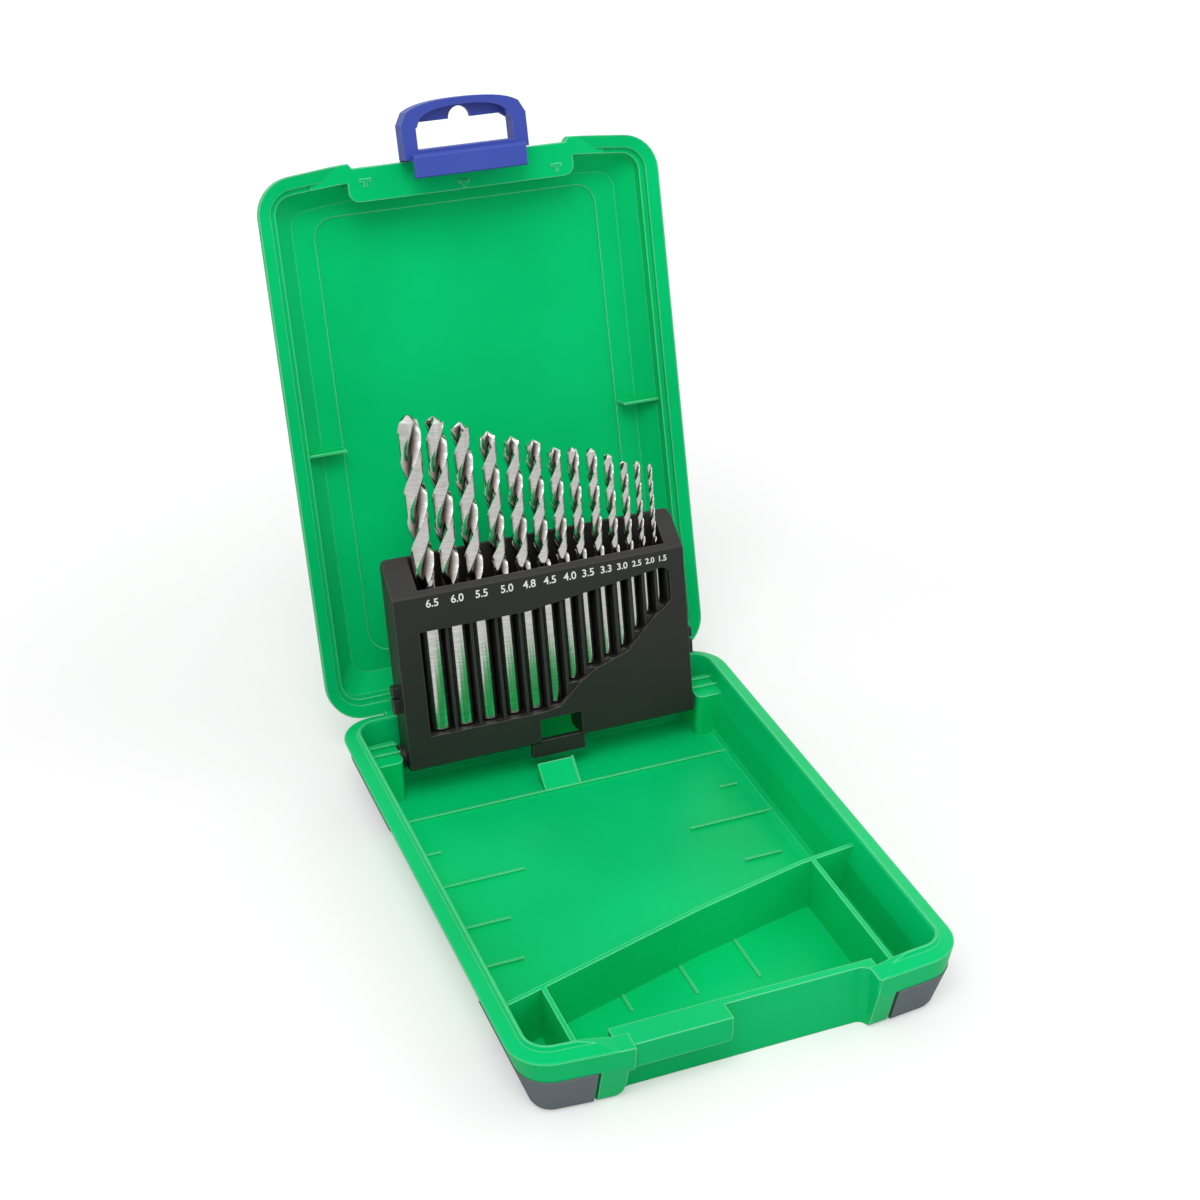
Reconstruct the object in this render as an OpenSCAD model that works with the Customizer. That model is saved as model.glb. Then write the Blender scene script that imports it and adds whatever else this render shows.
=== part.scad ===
// Hinged drill bit case, shown open: tray, lid, sliding latch,
// folding bit holder and thirteen twist drills. Millimetres, +Z up.
// Origin: centre of the underside. X right, Y to the hinge, Z up.

/* [Case outline] */
// Width over the rim
case_w = 120; // [80:0.5:200]
// Length over the straight sides
case_l = 157.2; // [100:0.1:260]
// Corner radius seen from above
corner_r = 10.8; // [6:0.1:20]
// How far the front edge bows out in the middle
front_bow = 3.9; // [0.5:0.1:8]
// Straight pieces in each quarter corner
corner_steps = 8; // [4:1:16]
// Smallest corner radius inside the shells
inner_corner_min = 5; // [0.5:0.1:8]

/* [Base shell] */
// Height of the rim's outer edge, where base and lid part
split_z = 18; // [12:0.5:40]
// Height of the raised lip above that edge
lip_rise = 2; // [1:0.1:5]
// Inset of the lip's crest
lip_inset = 3.6; // [2:0.1:5]
// Thickness of the tray floor
floor_t = 1.5; // [1:0.1:4]
// Inset of the outer wall at the tray's foot
foot_inset = 5.6; // [3:0.1:10]
// How much less the front wall leans in at its foot
foot_front = 2.2; // [0:0.1:4]
// Height where the rim's outer band ends
band_z = 12.2; // [8:0.1:16]
// Inset of the outer wall at that height
band_inset = 1.9; // [0.5:0.1:4]
// How much less the front wall leans in at that height
band_front = 1.4; // [0:0.1:3]
// Inset of the cavity wall at the lip
cavity_inset = 5.2; // [3:0.1:10]
// Inset of the cavity wall at its crease
cavity_mid = 7.5; // [4:0.1:12]
// Height of that crease
crease_z = 12; // [6:0.1:15]
// Inset of the cavity wall above the floor fillet
cavity_foot = 8.6; // [5:0.1:14]

/* [Front latch zone] */
// Left end of the cut below the ledge
zone_x0 = -32.5; // [-50:0.5:0]
// Right end of the recess
zone_x1 = 34; // [0:0.5:50]
// Left end of the catch ledge
ledge_x0 = -31; // [-45:0.5:0]
// Right end of the catch ledge
ledge_x1 = -5; // [-20:0.5:20]
// Distance of the ledge's face behind the front edge
ledge_in = 2.8; // [1:0.1:6]
// Underside height of the catch ledge
ledge_z = 10.5; // [5:0.1:16]
// Corner radius of the catch ledge
ledge_r = 1.5; // [0.5:0.1:3]
// Distance of the set-back wall behind the front edge
zone_in = 8.1; // [5:0.1:12]
// Thickness of the set-back wall
zone_wall = 2.2; // [1:0.1:4]
// Height of the set-back wall's top
zone_top = 17.7; // [12:0.1:20]
// Radius between the set-back wall and its ends
zone_r = 2.5; // [1:0.1:6]
// Radius between the recess and the rim
zone_edge_r = 1.2; // [0.5:0.1:3]
// Width and height of the curve under the left foot
foot_curve = [3.7, 5]; // [0.5:0.1:8]
// Half width over which the raised lip is left out
lip_half = 35; // [20:0.1:50]
// Length over which the lip slopes away beside that
lip_fade = 9; // [1:0.1:20]

/* [Compartments] */
// Thickness of the dividing walls
divider_t = 1.3; // [0.8:0.1:4]
// Height of the dividing walls
divider_top = 17; // [8:0.5:20]
// Distance of the left divider from the case's left edge
left_divider_in = 16.4; // [10:0.1:30]
// Distance of the right divider from the case's right edge
right_divider_in = 18.7; // [10:0.1:30]
// Distance of the diagonal wall behind the front edge, at its ends
// and bends from left to right
diagonal_in = [28.1, 31.3, 45.3, 53, 55.1]; // [20:0.1:70]
// X of the diagonal wall's middle bend
bend_x = 5; // [-20:0.5:20]
// Distance of its right bend from the case's right edge
bend_in = 22.3; // [19:0.1:35]
// Distance of its two ends from the case's sides
diagonal_end_in = 5; // [4:0.1:6]
// Thickness of the small ribs
rib_t = 0.7; // [0.5:0.1:2]
// Height of the small ribs above the floor
rib_h = 0.9; // [0.5:0.1:5]
// Distance of the full width rib in front of the bit holder
cross_rib_in = 9.6; // [4:0.1:20]
// Distances of the side ribs in front of the full width rib
side_rib_in = [16.9, 32.4, 51.3, 68.2]; // [5:0.1:90]
// Distance from the left edge to the inner ends of the left ribs
left_rib_end = [15.6, 34.8, 24, 21.7]; // [10:0.1:50]
// Distance from the right edge to both ends of the right ribs
right_rib_end = [[13.5, 18.8], [8.6, 34.9], [15.7, 26.8]]; // [8:0.1:50]
// X of the ribs in front of the diagonal wall
front_rib_x = [-19.8, -1.6, 16.1]; // [-40:0.1:40]
// Distance of their ends behind the front edge
front_rib_in = 31; // [12:0.1:40]
// Height of those ribs above the floor
front_rib_h = 0.5; // [0.3:0.1:2]
// Left and right side of the tab that the holder's tongue meets
tab_x = [-6.9, 4.2]; // [-20:0.1:20]
// Length of the tab's slope behind the full width rib
tab_l = 6.6; // [3:0.1:12]
// Top of the tab
tab_top = 7.4; // [4:0.1:10]

/* [Bearing blocks] */
// Distance of a block's front behind the holder's front
block_front = 1; // [0:0.1:4]
// Length of a block behind the fold axis
block_back = 5; // [3:0.1:8]
// Height of a block above the fold axis
block_rise = 2.4; // [2:0.1:5]
// Gap between block and holder boss
block_gap = 0.35; // [0.2:0.05:1]
// Radius of a block's inner front corner
block_r = 2; // [0.5:0.1:4]
// Height of the two ribs on a block
block_rib_h = 1.1; // [0.4:0.1:3]
// Distance of those ribs from the fold axis
block_rib_y = 2.1; // [1.6:0.1:4]

/* [Corner pads] */
// Top edge of the pads
pad_top = 12; // [4:0.1:14]
// Thickness of the pads
pad_t = 1.3; // [0.8:0.1:3]
// How far the pads stand proud of the wall
pad_proud = 0.3; // [0:0.1:1]
// Gap between pad and shell
pad_fit = 0.06; // [0.02:0.01:0.3]
// Distance of the front pads' ends from the case's side
pad_in = 19.7; // [10:0.1:40]
// Distance of the side ends of the pads from the straight ends
pad_side_l = 33.6; // [15:0.1:60]
// Slot between a front pad and the green foot
pad_slot = 0.9; // [0.3:0.1:3]

/* [Hinge] */
// Distance of the hinge axis behind the rear edge
hinge_out = 1.15; // [0.5:0.01:5]
// Height of the hinge axis
hinge_z = 14.78; // [8:0.01:20]
// Lid angle from closed, as shown
open_angle = 106.37; // [0:0.01:120]
// Distance of each hinge's middle from the case's side
hinge_in = 26; // [15:0.5:50]
// Knuckle radius
knuckle_r = 2.9; // [1.5:0.1:5]
// Length of a lid knuckle
lid_knuckle = 10; // [4:0.5:20]
// Length of a base knuckle
base_knuckle = 5; // [2:0.5:12]
// Reach of a base knuckle's web into the rear wall
web_root = 5.4; // [4:0.1:6.5]
// How far that web runs down below the knuckle
web_drop = 2.6; // [1:0.1:4]
// Height of that web's top above the hinge axis
web_rise = 2.5; // [1:0.1:2.8]
// Height of a lid knuckle's arm above the hinge axis
arm_h = 6.6; // [5:0.1:7.5]
// Height where that arm starts to slope in
arm_bend = 3.6; // [3:0.1:4.5]
// Side gap between knuckles
knuckle_gap = 0.3; // [0.1:0.05:1]
// Hinge pin radius
pin_r = 1; // [0.6:0.05:2]
// Radial clearance of a pin in its bore
pin_fit = 0.05; // [0.02:0.01:0.1]

/* [Lid shell] */
// Gap between lid and base at the rim
lid_gap = 0.3; // [0.1:0.05:1]
// Inside depth of the lid from the parting height
lid_depth = 10.5; // [6:0.1:25]
// Thickness of the lid's panel
lid_t = 1.8; // [1:0.1:4]
// Height of the lid's outer flange
flange_h = 4.2; // [2:0.1:8]
// Inset of the lid's outer wall above the flange
lid_wall_inset = 3.5; // [2:0.1:8]
// Depth of the step that takes the base's lip
step_d = 2.6; // [1.5:0.1:5]
// Inset of the lid's inner wall
step_in = 5.2; // [4.5:0.1:10]
// Height of the inner wall up to the sloping part
inner_wall_h = 3.3; // [1:0.1:8]
// Inset of the foot of the sloping part
slope_in = 10.8; // [7:0.1:20]
// Half width of the notch in the front rim
notch_half = 32.8; // [20:0.1:50]
// Distance of the notch floor behind the front edge
notch_in = 2.7; // [1:0.1:6]
// Half width of the flap behind the latch
flap_half = 33.7; // [20:0.1:50]
// Distance of the flap's rear edge behind the front edge
flap_in = 12.1; // [8:0.1:20]
// Width of the rail along the flap's front
rail_w = 5.4; // [3:0.1:8]
// Width of the rail's low part, which the latch hooks over
rail_low_w = 4; // [2:0.1:7]
// Radius of the flap's corners
flap_r = 3; // [0.5:0.1:6]
// Hooks on the flap: X, then distance behind the front edge
hooks = [[-28.6, 6.2], [0, 9.9], [28.3, 8.8]]; // [-30:0.1:30]
// Thickness of the flap
flap_t = 1.5; // [0.8:0.1:3]
// Height of the rail that the latch slides on
rail_top = 22; // [19:0.1:28]
// Insets of the recessed panel: side, front, rear
panel_in = [17.2, 15.9, 16.6]; // [12:0.1:30]
// Corner radius of the recessed panel
panel_r = 6; // [2:0.1:12]
// Depth of the recessed panel
panel_d = 0.5; // [0.1:0.1:1.2]
// Distance of the lid's side ribs in front of the case's middle
lid_rib_in = 0.4; // [-20:0.1:20]

/* [Sliding latch] */
// Slide to each side of the rest position
latch_travel = 12; // [2:0.5:16]
// Half width of the bar
bar_half = 16.5; // [8:0.1:30]
// Thickness of the outer leg
leg_t = 1.8; // [1:0.1:3]
// Running gap to rail and ledge
latch_gap = 0.3; // [0.1:0.05:1]
// Lower edge of the catch lip
catch_z = 8; // [4:0.1:12]
// Thickness of the catch lip
catch_t = 2.2; // [1:0.1:4]
// Distance of the catch lip's inner edge behind the front edge
catch_in = 7.1; // [4:0.1:8]
// Width of the hook over the rail
rail_hook = 2.2; // [1:0.1:3]
// Thickness of the hook over the rail
rail_hook_t = 1.4; // [0.8:0.1:3]
// Half width of the arch
arch_half = 18.4; // [8:0.1:30]
// Width of the arch legs
arch_leg = 4.2; // [2:0.1:8]
// Thickness of the arch
arch_t = 6; // [2:0.1:10]
// Height of the arch's lower face when closed
arch_z = 11; // [6:0.1:20]
// Reach of the arch beyond the front edge
arch_out = 13.7; // [6:0.1:25]
// Reach of the arch's shoulders beyond the front edge
shoulder_out = 7.6; // [3:0.1:20]
// Fullness of the arch's curve, 2 is an ellipse
arch_power = 2.5; // [2:0.1:4]
// Distance of the hang hole's straight top beyond the front edge
hole_out = 7.9; // [2:0.1:20]
// Distance of the hang hole's lower edge beyond the front edge
hole_root = 0.5; // [0:0.1:4]
// Size of the hang hole's upper corners
hole_corner = [2.2, 1.5]; // [0.5:0.1:4]
// Radius of the hook notch in the hang hole
hook_r = 3.3; // [1:0.1:6]
// Thickness of the arch's outer band past the recess
arch_band = 2; // [1:0.1:4]
// Depth of the recess that leaves the thin web
web_recess = 4; // [1:0.1:5]

/* [Bit holder] */
// Lean of the open holder from upright
holder_lean = 12; // [0:0.5:30]
// Width of the holder
holder_w = 88.4; // [60:0.1:110]
// Height of the front face
front_h = 51.8; // [30:0.1:80]
// Thickness from front to back
holder_t = 10; // [8:0.1:20]
// Thickness of the front wall
front_wall = 1.4; // [0.8:0.1:3]
// Thickness of the back wall
back_wall = 1; // [0.6:0.1:3]
// Left end of the pocket row
pocket_x0 = -37.4; // [-50:0.1:-20]
// Right end of the pocket row
pocket_x1 = 39.4; // [20:0.1:50]
// Underside of the guide bridge
bridge_z0 = 47.2; // [30:0.1:60]
// Top of the guide bridge
bridge_z1 = 50.2; // [32:0.1:64]
// Gap beside the largest drill in the slanted mouth
mouth_gap = 0.3; // [0.2:0.05:1]
// Thickness of the walls between pockets
pocket_wall = 0.8; // [0.5:0.1:2]
// Radial clearance of a drill in the guide
drill_fit = 0.08; // [0.02:0.01:0.1]
// Gap under a drill in its pocket
pocket_gap = 0.3; // [0.1:0.05:1]
// Depth of the pocket row's middle behind the front
drill_depth = 5.2; // [3:0.1:10]
// Distance of the fold pins in front of the rear edge
fold_in = 15.6; // [12:0.1:30]
// Height of the fold pins
fold_z = 13; // [6:0.1:20]
// Distance of the front bottom edge in front of the fold pins
fold_front = 7.5; // [5:0.1:9]
// Distance of the front bottom edge below the fold pins
fold_low = 1; // [0.5:0.1:3]
// Radius of the fold pins
fold_pin_r = 1.5; // [0.8:0.1:3]
// Length of the fold pins
fold_pin_l = 5.8; // [2:0.1:10]
// Radius of the bosses round the fold pins
boss_r = 3.4; // [2:0.1:5]
// Length of the bosses
boss_l = 1.3; // [0.5:0.1:3]
// Lugs on the ends: height above the bottom edge, then length
lugs = [[17.2, 4.2], [22.4, 2.8]]; // [1:0.1:40]
// Reach of those lugs beyond the ends
lug_l = 2.2; // [1:0.1:4]
// Distance of the lugs behind the front
lug_in = 3; // [0:0.1:5]
// Length of the lugs from front to back
lug_t = 3; // [1:0.1:6]
// Distance of the window's edge below a shank's end
window_lip = 0.4; // [0:0.1:2]
// Height of the window's top at its left half and at its right end
window_top = [41.3, 46.6]; // [30:0.1:48]
// X where the window's top starts to rise
window_bend = -5; // [-30:0.1:30]
// Radius of the window's upper right corner
window_r = 2.5; // [0.5:0.1:5]
// Left and right side of the notch over the tab
notch_x = [-4.2, 8.7]; // [-20:0.1:20]
// Height of that notch
notch_h = 7.4; // [3:0.1:9]
// Left and right side of the tongue below the notch
tongue_x = [-7, 9.3]; // [-20:0.1:20]
// Length of the tongue below the bottom edge
tongue_l = 4.4; // [2:0.1:6]
// Thickness of the tongue
tongue_t = 2; // [1:0.1:3]

/* [Drills] */
// Drill diameters from left to right
drill_d = [6.5, 6, 5.5, 5, 4.8, 4.5, 4, 3.5, 3.3, 3, 2.5, 2, 1.5];
// Middle of each drill along the holder
drill_x = [-32.8, -25.4, -18.1, -10.5, -3.7, 2.6, 8.7, 14.3, 19.9, 24.9, 29.5, 33.6, 37.5];
// Height of each shank end above the holder's bottom edge
drill_foot = [10, 10, 10, 10, 10, 10.8, 16.7, 20.2, 21.9, 23.7, 28.4, 32.3, 35];
// Height of each tip above the holder's bottom edge
drill_tip = [103.2, 101.5, 98.6, 94.6, 92, 90, 86.7, 85.8, 84.6, 82, 79, 78.3, 76.8];
// Share of a drill's length that is fluted
flute_share = 0.62; // [0.3:0.01:0.8]
// Lead of the flutes in diameters
flute_lead = 5.44; // [3:0.01:10]
// Slices to one turn of the flutes
flute_slices = 7; // [6:1:24]
// Point angle of the drills
point_angle = 118; // [90:1:140]

/* [Hidden] */
half_w = case_w / 2;
half_l = case_l / 2;
bow_r = (half_w * half_w + front_bow * front_bow) / (2 * front_bow);
bow_cy = bow_r - half_l - front_bow;
front_y = -half_l - front_bow;
lip_z = split_z + lip_rise;
lid_z = split_z + lid_depth;
lid_top = lid_z + lid_t;
step_z = split_z + lid_gap + step_d;
foot_round_z = 1.6;
side_slope = (foot_inset - band_inset) / (band_z - foot_round_z);
front_slope = (foot_front - band_front) / (band_z - foot_round_z);
ledge_y = front_y + ledge_in;
zone_y = front_y + zone_in;
notch_y = front_y + notch_in;
flap_y = front_y + flap_in;
catch_y = front_y + catch_in;
hinge_x = half_w - hinge_in;
hinge_y = half_l + hinge_out;
fold_y = half_l - fold_in;
holder_y = fold_y - fold_front;
holder_z = fold_z - fold_low;
cross_rib_y = holder_y - cross_rib_in;
bend_slope = (diagonal_in[2] - diagonal_in[1]) / (bend_x + half_w - left_divider_in);
block_x = holder_w / 2 + boss_l + block_gap;
pad_x = half_w - pad_in;
pad_y = half_l - pad_side_l;
hinge_bore_r = pin_r + pin_fit;
hinge_reach = lid_knuckle / 2 + knuckle_gap + base_knuckle;
pad_rear_x = hinge_x + hinge_reach + pad_slot;
pit_top = front_h + holder_t;
far = 300;
eps = 0.01;
drill_count = len(drill_d);
round_fn = 48;

// Outline of the case, moved in by i: four corner arcs and the bowed
// front, which lies f further out. Every inset gives the same number of
// points, so rings join.
function rc(i) = max(corner_r - i, inner_corner_min);
function arc(cx, cy, r, a0, a1, n) =
  [for (k = [0:n]) [cx + r * cos(a0 + (a1 - a0) * k / n),
                    cy + r * sin(a0 + (a1 - a0) * k / n)]];
function side_cx(i) = half_w - i - rc(i);
function back_cy(i) = half_l - i - rc(i);
function front_cy(i) =
  bow_cy - sqrt(pow(bow_r - i - rc(i), 2) - pow(side_cx(i), 2));
function bow_a(i) = atan2(side_cx(i), bow_cy - front_cy(i));
function outline(i, f) = concat(
  arc(side_cx(i), back_cy(i), rc(i), 0, 90, corner_steps),
  arc(-side_cx(i), back_cy(i), rc(i), 90, 180, corner_steps),
  arc(-side_cx(i), front_cy(i) - f, rc(i), 180, 270 - bow_a(i), corner_steps),
  [for (k = [1:7]) let (a = 270 - bow_a(i) + bow_a(i) * k / 4)
    [(bow_r - i) * cos(a), bow_cy - f + (bow_r - i) * sin(a)]],
  arc(side_cx(i), front_cy(i) - f, rc(i), 270 + bow_a(i), 360, corner_steps));

// A closed solid through rings of points, each ring a list of [x, y, z].
module skin(rings) {
  n = len(rings[0]);
  m = len(rings);
  points = [for (r = rings) each r];
  sides = [for (j = [0:m - 2], k = [0:n - 1])
    let (a = j * n + k, b = j * n + (k + 1) % n)
    each [[a, a + n, b + n], [a, b + n, b]]];
  bottom = [[for (k = [0:n - 1]) k]];
  top = [[for (k = [n - 1:-1:0]) (m - 1) * n + k]];
  polyhedron(points, concat(sides, bottom, top), convexity = 6);
}

// The case outline as a solid, from [inset, height] going up. A third
// value moves the front further out.
module shell(steps) {
  skin([for (s = steps) let (f = len(s) > 2 ? s[2] : 0)
    [for (p = outline(s[0], f)) [p[0], p[1], s[1]]]]);
}

module box(x0, x1, y0, y1, z0, z1) {
  translate([x0, y0, z0]) cube([x1 - x0, y1 - y0, z1 - z0]);
}

// A bar of a (y, z) outline that runs along X.
module bar_x(x0, x1, points) {
  translate([x0, 0, 0]) rotate([90, 0, 90]) linear_extrude(x1 - x0) polygon(points);
}

module rod_x(x0, x1, y, z, r) {
  translate([x0, y, z]) rotate([0, 90, 0]) cylinder(h = x1 - x0, r = r, $fn = round_fn);
}

module mirrored() {
  children();
  mirror([1, 0, 0]) children();
}

// A ring of the sloping outer wall at height z, moved in by o.
function wall_ring(o, z) = [band_inset + (band_z - z) * side_slope + o, z,
  band_front + (band_z - z) * front_slope];

// The outer wall from the ground to z, moved in by o.
function wall_rings(o, z) = [wall_ring(o + 1.2, 0), wall_ring(o + 0.3, 0.5),
  wall_ring(o, foot_round_z), wall_ring(o, z)];

module base_outer() {
  shell(concat(wall_rings(0, band_z), [[0, split_z],
    [0.3, split_z + 0.25],
    [lip_inset, split_z + lip_rise / 2],
    [lip_inset + 0.5, lip_z - 0.3],
    [lip_inset + 0.7, lip_z]]));
}

// A plain body just inside the outer wall, which trims what stands in it.
module base_limit() {
  shell([wall_ring(2, 0.3), wall_ring(0.8, foot_round_z), [1.2, split_z], [lip_inset + 0.9, lip_z]]);
}

module base_cavity() {
  shell([[cavity_foot + 3, floor_t],
    [cavity_foot + 0.9, floor_t + 0.6],
    [cavity_foot, floor_t + 1.8],
    [cavity_mid, crease_z],
    [cavity_inset, lip_z - 0.6],
    [cavity_inset - 0.4, lip_z - 0.05],
    [cavity_inset - 0.4, lip_z + 1]]);
}

// The recess in the front as seen from above, from x0 to its right end.
module zone_plan(x0) {
  rim_y = bow_cy - sqrt(pow(bow_r, 2) - pow(zone_x1, 2));
  e = zone_edge_r;
  polygon(concat([[x0, -far]],
    arc(x0 + zone_r, zone_y - zone_r, zone_r, 180, 90, 5),
    arc(zone_x1 - zone_r, zone_y - zone_r, zone_r, 90, 0, 5),
    arc(zone_x1 + e, rim_y + e, e, 180, 270, 4),
    [[zone_x1 + e, -far]]));
}

module zone_cut() {
  translate([0, 0, -1]) linear_extrude(ledge_z + 1) zone_plan(zone_x0);
  translate([0, 0, -1]) linear_extrude(far) zone_plan(ledge_x0);
  // The raised lip slopes away on both sides of the latch zone.
  translate([0, zone_y + zone_wall + 6, 0]) rotate([90, 0, 0]) linear_extrude(far)
    polygon([[-lip_half - lip_fade, lip_z + eps], [-lip_half, split_z], [lip_half, split_z],
      [lip_half + lip_fade, lip_z + eps], [lip_half + lip_fade, far], [-lip_half - lip_fade, far]]);
  // A curve runs up under the left foot.
  translate([0, zone_y, 0]) rotate([90, 0, 0]) linear_extrude(far)
    polygon(concat([[zone_x0 - foot_curve[0], -1]],
      [for (t = [0:30:90]) [zone_x0 - foot_curve[0] * (1 - sin(t)), foot_curve[1] * (1 - cos(t))]],
      [[zone_x0 + 1, foot_curve[1]], [zone_x0 + 1, -1]]));
}

// The block that the recess is cut from, so that it keeps a wall.
module zone_block() {
  box(zone_x0 - zone_wall, zone_x1 + zone_wall, -far, zone_y + zone_wall, 0.4, zone_top);
}

module catch_ledge() {
  depth = zone_y + zone_wall / 2 - ledge_y;
  translate([0, ledge_y + depth, 0]) rotate([90, 0, 0]) linear_extrude(depth)
    polygon(concat([[ledge_x0 - 1, zone_top], [ledge_x0 - 1, ledge_z]],
      arc(ledge_x1 - ledge_r, ledge_z + ledge_r, ledge_r, 270, 360, 5), [[ledge_x1, zone_top]]));
}

// Knuckle room in the base for the lid's knuckles.
module knuckle_room() {
  mirrored() rod_x(hinge_x - lid_knuckle / 2 - knuckle_gap,
    hinge_x + lid_knuckle / 2 + knuckle_gap, hinge_y, hinge_z, knuckle_r + 0.4);
}

module base_knuckles() {
  root_y = hinge_y - web_root;
  low_z = hinge_z - knuckle_r;
  mirrored() for (s = [-1, 1]) {
    x0 = hinge_x + s * (lid_knuckle / 2 + knuckle_gap + base_knuckle / 2) - base_knuckle / 2;
    rod_x(x0, x0 + base_knuckle, hinge_y, hinge_z, knuckle_r);
    bar_x(x0, x0 + base_knuckle, [[root_y, low_z - web_drop], [root_y + 1.4, low_z - web_drop],
      [hinge_y + 0.4, low_z + 0.03], [hinge_y + 0.4, hinge_z],
      [hinge_y - 1.4, hinge_z + web_rise], [root_y, hinge_z + web_rise]]);
  }
}

// Diagonal wall of the front compartments, as seen from above.
module diagonal_wall() {
  x = [-half_w + diagonal_end_in, -half_w + left_divider_in, bend_x,
    half_w - bend_in, half_w - diagonal_end_in];
  path = [for (k = [0:4]) [x[k], front_y + diagonal_in[k]]];
  translate([0, 0, floor_t - 0.5]) linear_extrude(divider_top - floor_t + 0.5)
    polygon(concat([for (p = path) [p[0], p[1] + divider_t / 2]],
      [for (k = [4:-1:0]) [path[k][0], path[k][1] - divider_t / 2]]));
}

module dividers() {
  left = -half_w + left_divider_in;
  right = half_w - right_divider_in;
  diagonal_wall();
  box(left - divider_t / 2, left + divider_t / 2,
    front_y + 2, front_y + diagonal_in[1], floor_t - 0.5, divider_top);
  box(right - divider_t / 2, right + divider_t / 2,
    front_y + 2, front_y + diagonal_in[3], floor_t - 0.5, divider_top);
}

module rib(x0, x1, y, h) {
  box(x0, x1, y - rib_t / 2, y + rib_t / 2, floor_t - 0.5, floor_t + h);
}

module floor_ribs() {
  z = floor_t - 0.5;
  rib(-half_w + cavity_foot, half_w - cavity_foot, cross_rib_y, rib_h);
  for (k = [0:3]) rib(-half_w + cavity_foot, -half_w + left_rib_end[k],
    cross_rib_y - side_rib_in[k], rib_h);
  for (k = [0:2]) rib(half_w - right_rib_end[k][1], half_w - right_rib_end[k][0],
    cross_rib_y - side_rib_in[k], rib_h);
  // low ribs that run forward from the diagonal wall
  for (x = front_rib_x) box(x - rib_t / 2, x + rib_t / 2,
    front_y + front_rib_in, front_y + diagonal_in[2] + (x - bend_x) * bend_slope,
    z, floor_t + front_rib_h);
  // tab with a sloping face, and its taller right edge
  for (t = [[tab_x[0], tab_x[1], 0], [tab_x[1] - rib_t, tab_x[1], 0.4]])
    bar_x(t[0], t[1], [[cross_rib_y - rib_t / 2, z], [cross_rib_y + tab_l, z],
      [cross_rib_y + tab_l, tab_top + t[2]], [cross_rib_y, floor_t + rib_h + t[2]]]);
}

// Bearing blocks for the fold pins, with two ribs on each.
module side_blocks() {
  y0 = holder_y + block_front;
  z1 = fold_z + block_rise;
  mirrored() difference() {
    union() {
      translate([0, 0, floor_t - 0.5]) linear_extrude(z1 - floor_t + 0.5)
        polygon(concat([[half_w - foot_inset, fold_y + block_back], [block_x, fold_y + block_back]],
          arc(block_x + block_r, y0 + block_r, block_r, 180, 270, 5), [[half_w - foot_inset, y0]]));
      for (s = [-1, 1]) translate([block_x, fold_y + s * block_rib_y - rib_t / 2, z1 - 0.5])
        cube([half_w - foot_inset - block_x, rib_t, block_rib_h + 0.5]);
    }
    rod_x(block_x - 1, holder_w / 2 + fold_pin_l + 1, fold_y, fold_z, fold_pin_r + pin_fit);
  }
}

// What the pads hug: the outer wall moved in by their thickness.
module pad_core(inset) {
  shell([wall_ring(inset, -3), wall_ring(inset, pad_top + 2)]);
}

// Corner block that a pad fills. Its inner sides lie extra further in,
// and at the front the slot beside the foot is added.
module pad_zone(sx, sy, extra, slot) {
  x0 = sy < 0 ? pad_x - extra - slot : pad_rear_x - extra;
  y0 = pad_y - extra;
  translate([sx > 0 ? x0 : -far - x0, sy > 0 ? y0 : -far - y0, -1])
    cube([far, far, pad_top + extra + 1]);
}

module pad_pockets() {
  for (sx = [-1, 1], sy = [-1, 1]) difference() {
    pad_zone(sx, sy, pad_fit, pad_slot);
    pad_core(pad_t + pad_fit);
  }
}

module base_shell() {
  color([0.02, 0.74, 0.4]) difference() {
    union() {
      difference() {
        union() {
          difference() {
            base_outer();
            base_cavity();
          }
          intersection() {
            union() {
              zone_block();
              dividers();
              floor_ribs();
              side_blocks();
            }
            base_limit();
          }
        }
        zone_cut();
      }
      catch_ledge();
      base_knuckles();
    }
    pad_pockets();
    knuckle_room();
    mirrored() rod_x(hinge_x - hinge_reach - 1, hinge_x + hinge_reach + 1,
      hinge_y, hinge_z, hinge_bore_r);
  }
}

module corner_pad(sx, sy) {
  color([0.43, 0.47, 0.48]) intersection() {
    difference() {
      shell(wall_rings(-pad_proud, pad_top + 1));
      pad_core(pad_t);
    }
    pad_zone(sx, sy, 0, 0);
  }
}

module hinge_pin(s) {
  color([0.6, 0.6, 0.6]) rod_x(s * hinge_x - hinge_reach, s * hinge_x + hinge_reach,
    hinge_y, hinge_z, pin_r);
}

// Turns a closed lid or latch to the pose shown.
module opened() {
  translate([0, hinge_y, hinge_z]) rotate([-open_angle, 0, 0])
    translate([0, -hinge_y, -hinge_z]) children();
}

module lid_outer() {
  shell([[0, split_z + lid_gap],
    [0, split_z + flange_h - 1.4],
    [0.7, split_z + flange_h - 0.3],
    [2, split_z + flange_h],
    [lid_wall_inset, split_z + flange_h + 0.3],
    [lid_wall_inset + 0.4, step_z + inner_wall_h + 1],
    [lid_wall_inset + 1.1, step_z + inner_wall_h + 1.7],
    [slope_in - 1.4, lid_top - 0.4],
    [slope_in, lid_top]]);
}

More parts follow.
